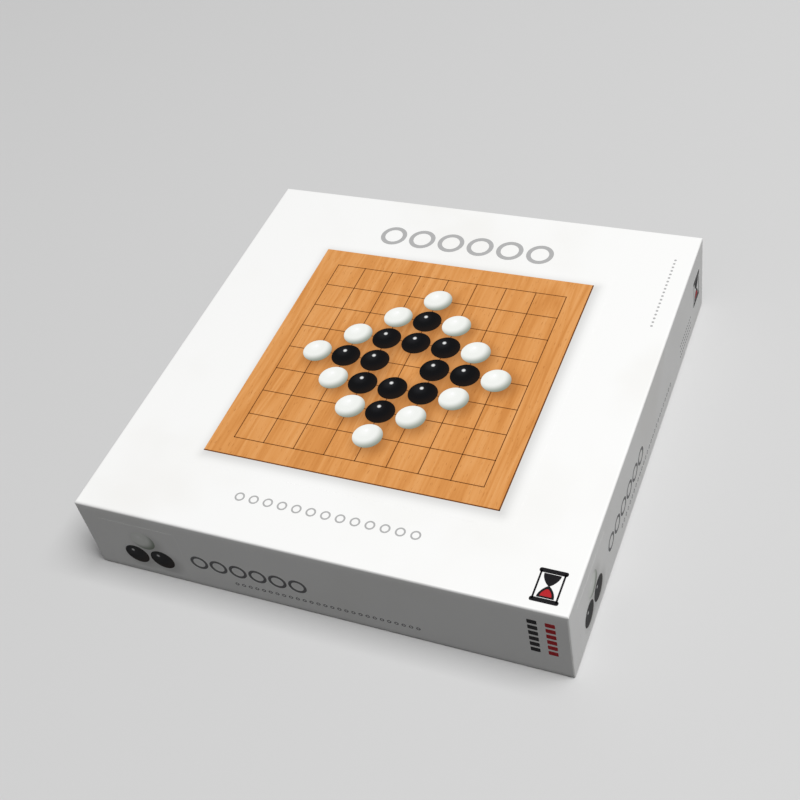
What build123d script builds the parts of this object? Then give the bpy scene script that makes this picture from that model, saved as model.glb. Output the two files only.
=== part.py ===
from build123d import *

import math
import os

# Boxed marble strategy board game: a lift-off lid over a base tray, both of paper-wrapped
# greyboard, holding a grooved beech board, twelve black and twelve white glass marbles on
# its border dimples, two corrugated packing pads and a stapled rules booklet.
#
# Frame: millimetres, +Z up, origin on the table under the middle of the box. The front of
# the box faces -Y. The box is closed, as it stands on a table.

# Marbles and playing field
marble_diameter = 24.5
marble_gap = 1.0  # free space between marbles in neighbouring dimples
seat_gap = 0.3  # marble above line contact with its dimple's rim
dimple_radius = 10.5  # spherical cutter
dimple_depth = 3.9
groove_radius = 8.0  # ball-nosed cutter
groove_depth = 2.4
field_rows = 6  # inner rows and columns; each ends in a border dimple
board_margin = 30.75  # least distance from a border dimple's centre to the board's edge
board_thickness = 15.0
board_edge_round = 1.0

# Sheet materials
greyboard = 2.0
wrap_paper = 0.25
lining_paper = 0.15
stay_tape = 0.15
turn_in = 15.0  # height of wrap folded over the rim to the inside
stay_leg = 12.0  # reach of a corner tape along each wall
stay_setback = 3.0  # corner tape kept short of the folded edge and of the rim
fold_round = 1.5  # outside radius of the folds between the closed face and the walls
corner_round = 0.8  # outside radius of the upright corners
rim_round = 0.6  # outside radius where the wrap turns in over the rim

# Fits inside the box
board_gap = 1.9  # board to base wall, each side
lid_gap = 0.6  # lid skirt to base wall, each side
lid_foot_gap = 0.4  # lid skirt above the table
headroom = 1.4  # marble tops to the lid's lining
pad_thickness = 3.0  # one ply of corrugated board
pad_gap = 0.4  # pad to base wall, each side
pad_strip = 12.0  # least width of pad beside the booklet's window

# Rules booklet, a folded and stapled section lying in the pads' window
booklet_width = 148.0
booklet_height = 210.0
cover_sheet = 0.3
page_block = 0.8
window_gap = 4.0  # booklet to the pads' window, each side
staple_wire = 0.5
staple_crown = 12.0
staple_clench = 4.5
staple_spacing = 105.0

overcut = 1.0  # how far a cutter runs past the face that it opens

# Places and sizes that follow from the values above
marble_radius = marble_diameter / 2
pitch = marble_diameter + marble_gap
border = (field_rows + 1) * pitch / 2  # border dimples lie at this distance from the middle
window_width = booklet_width + 2 * window_gap
window_height = booklet_height + 2 * window_gap
room_for_board = 2 * (border + board_margin + board_gap)
room_for_pads = max(window_width, window_height) + 2 * (pad_strip + pad_gap)
inside_side = max(room_for_board, room_for_pads)
board_side = inside_side - 2 * board_gap
pad_side = inside_side - 2 * pad_gap
wall = wrap_paper + greyboard + wrap_paper
base_side = inside_side + 2 * wall
lid_side = base_side + 2 * (lid_gap + wall)
floor_level = wrap_paper + greyboard + lining_paper
pad_levels = {"lower": floor_level, "upper": floor_level + pad_thickness}
board_bottom = pad_levels["upper"] + pad_thickness
board_top = board_bottom + board_thickness
rim_radius = math.sqrt(dimple_radius**2 - (dimple_radius - dimple_depth) ** 2)
marble_centre = board_top + math.sqrt(marble_radius**2 - rim_radius**2) + seat_gap
lid_ceiling = marble_centre + marble_radius + headroom
box_height = lid_ceiling + floor_level
field_lines = [(i - (field_rows - 1) / 2) * pitch for i in range(field_rows)]


def block(side_x, side_y, low, high):
    """A plain box, centred on the Z axis, between two heights."""
    return Pos(0, 0, low) * Box(side_x, side_y, high - low, align=(Align.CENTER, Align.CENTER, Align.MIN))


def folded_block(side, low, high, fold, corner):
    """A square block with soft lower folds, mitred where they meet, and tighter upright corners."""
    body = block(side, side, low, high)
    cornered = fillet(body.edges().filter_by(Axis.Z), corner)
    lower = body.edges().group_by(Axis.Z)[0]
    folded = [fillet(lower.filter_by(axis), fold) for axis in (Axis.X, Axis.Y)]
    return cornered & folded[0] & folded[1]


def open_tray(side, low, rim, thickness, fold, corner, edge):
    """A square open tray of one thickness, with rounded folds and a rounded rim."""
    inner_side = side - 2 * thickness
    tray = folded_block(side, low, rim, fold, corner)
    tray -= block(inner_side, inner_side, low + thickness, rim + overcut)
    return fillet(tray.edges().group_by(Axis.Z)[-1], edge)


def corner_stays(side, low, high):
    """Four L-shaped tapes round the corners of a square wall of the given outside size."""
    inner_side = side - 2 * stay_tape
    outer_round = corner_round - wrap_paper
    outline = RectangleRounded(side, side, outer_round)
    inset = RectangleRounded(inner_side, inner_side, outer_round - stay_tape)
    band = Pos(0, 0, low) * extrude(outline - inset, high - low)
    between = side - 2 * stay_leg
    across = block(between, side + overcut, low - overcut, high + overcut)
    along = block(side + overcut, between, low - overcut, high + overcut)
    return band - across - along


def wrapped_tray(side, height):
    """Greyboard, corner tapes, wrap and lining of a square open tray standing on z = 0."""
    rim = height - wrap_paper
    core_side = side - 2 * wrap_paper
    hollow_side = core_side - 2 * greyboard
    hollow_floor = wrap_paper + greyboard
    lining_side = hollow_side - 2 * lining_paper
    lining_top = height - turn_in

    core_rounds = [outer - wrap_paper for outer in (fold_round, corner_round, rim_round)]
    core = open_tray(core_side, wrap_paper, rim, greyboard, *core_rounds)
    stays = corner_stays(core_side, wrap_paper + stay_setback, rim - stay_setback)
    lined_room = block(hollow_side, hollow_side, hollow_floor, lining_top)
    shell = open_tray(side, 0, height, wall, fold_round, corner_round, rim_round)
    wrap = shell - core - lined_room
    lining = lined_room - block(lining_side, lining_side, hollow_floor + lining_paper, height)
    return {"greyboard": core - stays, "corner_stays": stays, "wrap": wrap, "lining": lining}


def base_tray():
    """The base, standing on the table with its opening upwards."""
    return wrapped_tray(base_side, lid_ceiling)


def lid_tray():
    """The lid, the same construction turned over and set down on the base's rim."""
    turned = Pos(0, 0, box_height) * Rot(X=180)
    tray = wrapped_tray(lid_side, box_height - lid_foot_gap)
    return {name: turned * piece for name, piece in tray.items()}


def packing_pad(level):
    """A die-cut corrugated frame that carries the board and leaves a window for the booklet."""
    pad = block(pad_side, pad_side, level, level + pad_thickness)
    return pad - block(window_width, window_height, level - overcut, level + pad_thickness + overcut)


def dimple_places():
    """Centres of all the dimples: the inner field and the four border rows, without corners."""
    rows = [-border, *field_lines, border]
    return [(x, y) for x in rows for y in rows if abs(x) < border or abs(y) < border]


def game_board():
    """The beech board with its dimples, joined in rows and columns by grooves."""
    board = block(board_side, board_side, board_bottom, board_top)
    board = fillet(board.edges(), board_edge_round)
    groove = Cylinder(groove_radius, 2 * border)
    groove_axis = board_top - groove_depth + groove_radius
    cuts = [Pos(line, 0, groove_axis) * Rot(X=90) * groove for line in field_lines]
    cuts += [Pos(0, line, groove_axis) * Rot(Y=90) * groove for line in field_lines]
    cutter = board_top - dimple_depth + dimple_radius
    cuts += [Pos(x, y, cutter) * Sphere(dimple_radius) for x, y in dimple_places()]
    return board - cuts


def marble_places():
    """Centres of the border dimples, one after the other round the board."""
    front = [(line, -border) for line in field_lines]
    right = [(border, line) for line in field_lines]
    back = [(-line, border) for line in field_lines]
    left = [(-border, -line) for line in field_lines]
    return front + right + back + left


def marbles():
    """A full set of marbles in the border dimples, black and white in turn."""
    pieces = {}
    for index, (x, y) in enumerate(marble_places()):
        number, turn = divmod(index, 2)
        colour = ("black", "white")[turn]
        pieces[f"{colour}_marble_{number + 1:02d}"] = Pos(x, y, marble_centre) * Sphere(marble_radius)
    return pieces


def booklet_staples():
    """Two wire staples: a crown outside the spine, legs through it and clenched ends inside."""
    wire = staple_wire
    fold = cover_sheet + page_block / 2  # the nested sheets, from the spine to the middle spread
    crown = Pos(-wire / 2, 0, 0) * Box(wire, staple_crown, wire)
    leg = Pos(fold / 2, (staple_crown - wire) / 2, 0) * Box(fold, wire, wire)
    clench = Pos(fold + wire / 2, (staple_crown - staple_clench) / 2, 0) * Box(wire, staple_clench, wire)
    end = leg + clench
    staple = crown + end + mirror(end, Plane.XZ)
    middle = floor_level + fold
    places = [staple_spacing / 2, -staple_spacing / 2]
    return [Pos(-booklet_width / 2, y, middle) * staple for y in places]


def rules_booklet():
    """Cover, pages and staples of the rules, lying on the base's floor."""
    staples = booklet_staples()
    pages_low = floor_level + cover_sheet
    pages_high = pages_low + page_block
    pages_width = booklet_width - cover_sheet
    inner = Pos(cover_sheet / 2, 0, 0) * block(pages_width, booklet_height, pages_low, pages_high)
    cover = block(booklet_width, booklet_height, floor_level, pages_high + cover_sheet)
    cover = cover - inner - staples
    pages = inner - staples
    return {"rules_cover": cover, "rules_pages": pages, "rules_staples": Compound(children=staples)}


def all_pieces():
    """Every piece under its own name."""
    pieces = {f"base_{name}": piece for name, piece in base_tray().items()}
    pieces.update({f"lid_{name}": piece for name, piece in lid_tray().items()})
    pieces.update({f"{name}_packing_pad": packing_pad(level) for name, level in pad_levels.items()})
    pieces["game_board"] = game_board()
    pieces.update(marbles())
    pieces.update(rules_booklet())
    return pieces


os.makedirs("parts", exist_ok=True)
for name, piece in all_pieces().items():
    export_step(piece, f"parts/{name}.step")
print(f"box {lid_side:.2f} x {lid_side:.2f} x {box_height:.2f} mm, board {board_side:.2f} mm")
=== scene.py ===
"""The looks of a boxed marble strategy board game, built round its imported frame.

The closed box is a white, paper-wrapped lid over a paper-wrapped base. Inside lie a grooved
beech board with its marbles, two corrugated pads and a stapled rules booklet. Lengths are in
metres unless a name says otherwise, and every piece has its place in its mesh.
"""

import logging
import math
from contextlib import contextmanager
from dataclasses import dataclass
from enum import Enum
from functools import cached_property
from typing import Any, Callable, Iterator, Optional, Sequence

import bmesh
import bpy
from mathutils import Matrix, Vector

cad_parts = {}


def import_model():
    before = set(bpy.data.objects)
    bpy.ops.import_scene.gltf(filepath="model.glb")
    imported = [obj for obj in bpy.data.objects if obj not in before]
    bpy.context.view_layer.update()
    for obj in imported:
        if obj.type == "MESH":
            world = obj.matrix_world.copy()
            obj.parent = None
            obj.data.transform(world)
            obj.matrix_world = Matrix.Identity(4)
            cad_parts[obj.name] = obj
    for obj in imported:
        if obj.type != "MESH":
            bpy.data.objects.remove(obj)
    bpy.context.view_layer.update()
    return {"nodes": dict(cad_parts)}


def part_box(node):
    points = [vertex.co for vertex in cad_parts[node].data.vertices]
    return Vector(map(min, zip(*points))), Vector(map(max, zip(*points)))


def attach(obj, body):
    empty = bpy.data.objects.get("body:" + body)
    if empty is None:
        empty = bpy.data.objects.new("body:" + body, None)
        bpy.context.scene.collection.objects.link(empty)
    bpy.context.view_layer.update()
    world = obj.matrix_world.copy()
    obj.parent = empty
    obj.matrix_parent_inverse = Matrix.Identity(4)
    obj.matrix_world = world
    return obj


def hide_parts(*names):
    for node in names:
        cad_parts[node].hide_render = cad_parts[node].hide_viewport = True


MM = 0.001
IN_MM = 1 / MM
TINY = 0.001 * MM
MOSTLY = 0.9
FULLY = 0.99
SOFT = {"interpolation_type": "SMOOTHSTEP"}
log = logging.getLogger("board_game_box")

Finish = bpy.types.Material
Socket = bpy.types.NodeSocket
Spot = Sequence[float]
Pairs = Sequence[tuple[Any, Any]]
Test = Callable[[Vector, Vector], bool]
Shade = Callable[[float, float], float]


class Element(Enum):
    """What an edit-mode selection holds."""

    CORNER = "VERT"
    EDGE = "EDGE"
    FACE = "FACE"


class Opening(Enum):
    """Which way a tray's open side looks."""

    UP = 1
    DOWN = -1


class Face(Enum):
    """An outer face of the box, as its turn about Z from the front in quarter turns."""

    FRONT = 0
    RIGHT = 1
    BACK = 2
    LEFT = 3
    TOP = None


def linear(code: str) -> tuple[float, float, float, float]:
    """Turn a colour into what the shaders take.

    Args:
        code: an sRGB colour as six hexadecimal digits.

    Returns:
        The linear colour, with an alpha of one.
    """
    shares = [int(code[i : i + 2], 16) / 255 for i in (0, 2, 4)]
    curve = [s / 12.92 if s <= 0.04045 else ((s + 0.055) / 1.055) ** 2.4 for s in shares]
    return (*curve, 1.0)


@dataclass(frozen=True)
class Patches:
    """A random pattern with soft steps: what it shows is weak below low and strong above high."""

    size_mm: Spot
    detail: float
    low: float
    high: float
    weak: float = 0.0
    strong: float = 1.0
    twist: float = 0.0


class Mixture:
    """A material, or the room's light, while it is put together from nodes."""

    def __init__(self, owner: Any, shader: str = "Principled BSDF", **sockets: Any) -> None:
        """Start from the shader that it has.

        Args:
            owner: the new material or world.
            shader: the name of its shader node.
            sockets: values of the shader's sockets, with underscores for spaces.
        """
        owner.use_nodes = True
        self.owner = owner
        self.tree = owner.node_tree
        self.shader = self.tree.nodes[shader]
        for key, value in sockets.items():
            self.shader.inputs[key.replace("_", " ")].default_value = value

    @cached_property
    def mm(self) -> Socket:
        """The place on the piece in millimetres."""
        return self.add("VectorMath", self.add("TexCoord", output="Object"), IN_MM, operation="SCALE")

    def add(self, kind: str, *terms: Any, output: str = "", **settings: Any) -> Socket:
        """Add one node.

        Args:
            kind: its type without the ShaderNode prefix.
            terms: what its sockets in use take, in order: a socket, a number or a colour.
            output: the name of the wanted output, if it isn't the first in use.
            settings: its properties, and what other sockets take, by their names.

        Returns:
            The output socket.
        """
        node = self.tree.nodes.new("ShaderNode" + kind)
        for key, value in settings.items():
            if key not in node.inputs:
                setattr(node, key, value)
        inputs = [(node.inputs[key], value) for key, value in settings.items() if key in node.inputs]
        inputs += zip([s for s in node.inputs if s.enabled], terms)
        for socket, value in inputs:
            if isinstance(value, Socket):
                self.tree.links.new(value, socket)
            else:
                socket.default_value = linear(value) if isinstance(value, str) else value
        return node.outputs[output] if output else next(s for s in node.outputs if s.enabled)

    def specks(self, size_mm: Spot, detail: float, twist: float = 0.0, place: Any = None) -> Socket:
        """Make an even random pattern, with features of that size along X, Y and Z."""
        place = self.add("VectorMath", place or self.mm, [1 / s for s in size_mm], operation="MULTIPLY")
        return self.add("TexNoise", place, 1.0, Detail=detail, Distortion=twist)

    def patches(self, look: Patches, place: Any = None) -> Socket:
        """Make a random pattern with soft steps."""
        source = self.specks(look.size_mm, look.detail, look.twist, place)
        return self.add("MapRange", source, look.low, look.high, look.weak, look.strong, **SOFT)

    def staves(self, width_mm: float, spread_mm: Spot) -> tuple[Socket, Socket, Socket]:
        """Divide wood into staves along X, each sawn from another place in the tree.

        Args:
            width_mm: how wide a stave is.
            spread_mm: how far apart in the tree two staves lie at most.

        Returns:
            The stave's number, a random share of its own, and the place in the tree.
        """
        across = self.add("Math", self.add("SeparateXYZ", self.mm), width_mm, operation="DIVIDE")
        number = self.add("Math", across, operation="FLOOR")
        draw = self.add("TexWhiteNoise", number, noise_dimensions="1D")
        slide = self.add("VectorMath", spread_mm, draw, operation="SCALE")
        return number, draw, self.add("VectorMath", self.mm, slide, operation="ADD")

    def finish(self, ground: Any, layers: Pairs = (), reliefs: Pairs = (), **sockets: Socket) -> Finish:
        """Paint the colour, press in the reliefs and link the rest to the shader.

        Args:
            ground: the lowest colour, a socket or a code.
            layers: shares, each with the colour that it lays over what is below.
            reliefs: heights from zero to one, each with its real depth in metres.
            sockets: what the shader's other sockets take.

        Returns:
            The finished material.
        """
        for share, tint in layers:
            ground = self.add("Mix", share, ground, tint, data_type="RGBA")
        for height, depth in reliefs:
            below = {"Normal": sockets["Normal"]} if "Normal" in sockets else {}
            sockets["Normal"] = self.add("Bump", Strength=1.0, Distance=depth, Height=height, **below)
        for name, source in {"Base Color": ground, **sockets}.items():
            self.tree.links.new(source, self.shader.inputs[name])
        return self.owner


class FilmedPrint(Mixture):
    """A print under a matt film, which mirrors little at a grazing angle and is finely grained.

    The real film's grain is too fine to show, so it is drawn as coarse as it needs to.
    """

    grain_mm = (0.9, 0.9, 0.9)
    grain_depth = 0.004 * MM
    gloss = {"IOR": 1.5, "Specular_IOR_Level": 0.05}

    def __init__(self, name: str, roughness: float) -> None:
        """Start from the film's own gloss."""
        super().__init__(bpy.data.materials.new(name), Roughness=roughness, **self.gloss)

    def finish(self, ground: Any, layers: Pairs = (), reliefs: Pairs = (), **sockets: Socket) -> Finish:
        """Finish the print, with the film's grain over its other reliefs."""
        grain = (self.specks(self.grain_mm, detail=3), self.grain_depth)
        return super().finish(ground, layers, [*reliefs, grain], **sockets)


@dataclass(frozen=True)
class LaminatedPaper:
    """White art paper under a matt film, wound tightly over greyboard.

    The matt film spreads a weak, broad sheen, the board under it gives faint waves, and the
    folds rub slightly grey. A printed soft shadow comes from the piece's shade attribute.
    """

    name: str
    low: Vector
    high: Vector
    tint: str = "F9F9F8"
    soiled: str = "F3F2EF"
    shadow: str = "6E6C69"
    rubbed: str = "D6D4CF"
    roughness: float = 0.50
    rubbed_roughness: float = 0.15
    handling: Patches = Patches((70, 70, 70), detail=3, low=0.5, high=0.75, strong=0.6)
    gloss: Patches = Patches((18, 18, 18), detail=4, low=0.3, high=0.7, weak=0.45, strong=0.55)
    rubbing: Patches = Patches((7, 7, 7), detail=5, low=0.45, high=0.7)
    rubbed_reach_mm: Spot = (0.1, 1.3)
    wear: float = 0.25
    wave_mm: Spot = (6, 6, 6)
    wave_depth: float = 0.012 * MM

    def make(self) -> Finish:
        """Mix the paper's colour, gloss and relief.

        Returns:
            The finished material.
        """
        mix = FilmedPrint(self.name, self.roughness)
        wear = self.fold_wear(mix)
        shade = mix.add("Attribute", attribute_name="shade", output="Fac")
        layers = [(mix.patches(self.handling), self.soiled), (wear, self.rubbed), (shade, self.shadow)]
        rougher = mix.add("Math", wear, self.rubbed_roughness, operation="MULTIPLY")
        gloss = mix.add("Math", mix.patches(self.gloss), rougher, operation="ADD")
        waves = (mix.specks(self.wave_mm, detail=2), self.wave_depth)
        return mix.finish(self.tint, layers, [waves], Roughness=gloss)

    def fold_wear(self, mix: Mixture) -> Socket:
        """Find where the folds are rubbed: the second least distance to the box's faces.

        Args:
            mix: the material being made.

        Returns:
            The socket that holds the wear, from zero to one.
        """
        middle = (self.low + self.high) / 2 * IN_MM
        half = (self.high - self.low) / 2 * IN_MM
        centred = mix.add("VectorMath", mix.mm, middle, operation="SUBTRACT")
        aside = mix.add("VectorMath", centred, operation="ABSOLUTE")
        gaps = mix.add("VectorMath", half, aside, operation="SUBTRACT")
        x, y, z = mix.add("SeparateXYZ", gaps).node.outputs
        least = mix.add("Math", x, y, operation="MINIMUM")
        most = mix.add("Math", x, y, operation="MAXIMUM")
        middling = mix.add("Math", most, z, operation="MINIMUM")
        second = mix.add("Math", least, middling, operation="MAXIMUM")
        near = mix.add("MapRange", second, *self.rubbed_reach_mm, self.wear, 0.0, **SOFT)
        return mix.add("Math", near, mix.patches(self.rubbing), operation="MULTIPLY")


@dataclass(frozen=True)
class PlainPaper:
    """Uncoated paper, card or pulp board, calendered but not coated.

    Its felted fibres scatter the light evenly and show as short pale and dark flecks. Real
    fibres are too thin to show, so they are drawn thicker.
    """

    name: str
    tint: str
    fleck: str
    fibre_mm: float = 0.6
    tooth: float = 0.02 * MM
    flecks: float = 0.35
    fleck_steps: Spot = (0.48, 0.72)
    clouds: Patches = Patches((25, 25, 25), detail=2, low=0.3, high=0.8, strong=0.15)

    def make(self) -> Finish:
        """Mix the fibres' colour and relief.

        Returns:
            The finished material.
        """
        mix = Mixture(bpy.data.materials.new(self.name), Roughness=0.82, IOR=1.5)
        size_mm = (self.fibre_mm * 3, self.fibre_mm, self.fibre_mm)
        fibre = mix.specks(size_mm, detail=5, twist=0.8)
        share = mix.add("MapRange", fibre, *self.fleck_steps, 0.0, self.flecks, **SOFT)
        layers = [(share, self.fleck), (mix.patches(self.clouds), self.fleck)]
        return mix.finish(self.tint, layers, [(fibre, self.tooth)])


@dataclass(frozen=True)
class PrintedWood:
    """A picture of oiled beech, offset-printed on art paper and matt-laminated.

    It shows joined staves with fine growth lines and short dark ray flecks along the grain,
    all under the same even satin film as the white paper.
    """

    name: str = "printed_beech_picture"
    light: str = "E6A768"
    middle: str = "DC9856"
    dark: str = "CC8645"
    fleck: str = "A8662F"
    shadow: str = "6B3613"
    roughness: float = 0.48
    stave_mm: float = 52.0
    stave_spread_mm: Spot = (9.0, 230.0, 0.0)
    stave_tone: float = 0.4
    rings_mm: Spot = (16, 190, 10)
    ring_folds: float = 9.0
    ring_share: float = 0.34
    fine_mm: Spot = (1.3, 44, 10)
    tone_steps: Spot = (0.20, 0.50, 0.80)
    flecks: Patches = Patches((0.45, 4.5, 4), detail=1, low=0.66, high=0.74, strong=0.55)

    def make(self) -> Finish:
        """Mix the picture's staves, grain, flecks and soft shadows.

        Returns:
            The finished material.
        """
        mix = FilmedPrint(self.name, self.roughness)
        _number, tone, place = mix.staves(self.stave_mm, self.stave_spread_mm)
        broad = mix.specks(self.rings_mm, detail=2, twist=1.2, place=place)
        folded = mix.add("Math", broad, self.ring_folds, operation="MULTIPLY")
        rings = mix.add("Math", folded, 1.0, operation="PINGPONG")
        fine = mix.specks(self.fine_mm, detail=3, twist=0.2, place=place)
        lines = mix.add("Mix", self.ring_share, fine, rings)
        layers = [
            (mix.add("MapRange", lines, *self.tone_steps[:2]), self.middle),
            (mix.add("MapRange", lines, *self.tone_steps[1:]), self.light),
            (mix.add("MapRange", tone, 0.0, 1.0, 0.0, self.stave_tone, **SOFT), self.middle),
            (mix.patches(self.flecks, place), self.fleck),
            (mix.add("Attribute", attribute_name="shade", output="Fac"), self.shadow),
        ]
        return mix.finish(self.dark, layers)


@dataclass(frozen=True)
class PrintedInk:
    """One solid offset ink under the matt film.

    It has the paper's own satin sheen, and the faint mottle of ink on fibres, which is drawn
    coarser than the real one so that it shows.
    """

    name: str
    tint: str
    mottle: str
    roughness: float = 0.48
    mottling: Patches = Patches((0.5, 0.5, 0.5), detail=3, low=0.35, high=0.75, strong=0.5)

    def make(self) -> Finish:
        """Mix the ink's colour and gloss."""
        mix = FilmedPrint(self.name, self.roughness)
        return mix.finish(self.tint, [(mix.patches(self.mottling), self.mottle)])


@dataclass(frozen=True)
class PrintedStone:
    """A picture of a round playing stone, printed and matt-laminated.

    Its painted light comes from the upper left: a broad pale sheen there, and a darker rim
    at the lower right. The stone attribute gives the place on the stone from -1 to 1. A fade
    holds the distances between which it runs, and the shares at both.
    """

    name: str
    body: str
    rim: str
    sheen: str
    glint: str
    roughness: float = 0.48
    sheen_place: Spot = (-0.34, 0.34, 0.0)
    glint_place: Spot = (-0.24, 0.42, 0.0)
    rim_fade: Spot = (0.75, 1.45, 0.0, 1.0)
    sheen_fade: Spot = (0.0, 0.62, 0.85, 0.0)
    glint_fade: Spot = (0.06, 0.17, 0.9, 0.0)

    def make(self) -> Finish:
        """Mix the stone's painted light and shade.

        Returns:
            The finished material.
        """
        mix = FilmedPrint(self.name, self.roughness)
        place = mix.add("Attribute", attribute_name="stone", output="Vector")
        away = mix.add("VectorMath", place, self.sheen_place, operation="DISTANCE")
        near = mix.add("VectorMath", place, self.glint_place, operation="DISTANCE")
        layers = [
            (mix.add("MapRange", away, *self.rim_fade, **SOFT), self.rim),
            (mix.add("MapRange", away, *self.sheen_fade, **SOFT), self.sheen),
            (mix.add("MapRange", near, *self.glint_fade, **SOFT), self.glint),
        ]
        return mix.finish(self.body, layers)


class Ink(Enum):
    """What the lid and the booklet are printed with."""

    WOOD = PrintedWood()
    BLACK_STONE = PrintedStone("printed_black_stone", "0C0C0E", "1C1410", "232427", "F2F3F2")
    WHITE_STONE = PrintedStone("printed_white_stone", "F1F3EF", "8E968A", "FBFCFA", "FFFFFF")
    PALE_GREY = PrintedInk("pale_grey_ink", "B2B2B2", "BCBCBC")
    DARK_GREY = PrintedInk("dark_grey_ink", "6C6C6E", "7B7B7D")
    BLACK = PrintedInk("black_ink", "1C1B1D", "2A292B")
    RED = PrintedInk("red_ink", "B3252C", "C23A3C")
    LINE = PrintedInk("dark_brown_ink", "6E3F1C", "80502A")


@dataclass(frozen=True)
class Kraft:
    """Brown kraft liner of corrugated board, glued over its flutes.

    Long fibres fleck it, drawn thicker than real ones so that they show, and the flutes press
    through as a faint relief, with painted shade in faint even stripes at their pitch.
    """

    name: str
    stripes_along: str
    flute_mm: float = 6.5
    tint: str = "BC946A"
    fleck: str = "8A6744"
    # The colour of the painted shade in the flute stripes.
    flute_shade: str = "A98057"
    flute_shade_share: float = 0.6
    fibre_mm: Spot = (2.4, 0.7, 0.7)
    fleck_fade: Spot = (0.5, 0.72, 0.0, 0.6)
    tooth: float = 0.03 * MM

    def make(self) -> Finish:
        """Mix the liner's fibres and stripes.

        Returns:
            The finished material.
        """
        mix = Mixture(bpy.data.materials.new(self.name), Roughness=0.85, IOR=1.5)
        along = mix.add("SeparateXYZ", mix.mm, output=self.stripes_along)
        turns = mix.add("Math", along, math.tau / self.flute_mm, operation="MULTIPLY")
        wave = mix.add("Math", turns, operation="SINE")
        fibre = mix.specks(self.fibre_mm, detail=5, twist=0.8)
        layers = [
            # Painted shade: darker stripes at the flute pitch.
            (mix.add("MapRange", wave, -1.0, 1.0, 0.0, self.flute_shade_share, **SOFT), self.flute_shade),
            (mix.add("MapRange", fibre, *self.fleck_fade, **SOFT), self.fleck),
        ]
        return mix.finish(self.tint, layers, [(wave, self.tooth), (fibre, self.tooth)])


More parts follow.
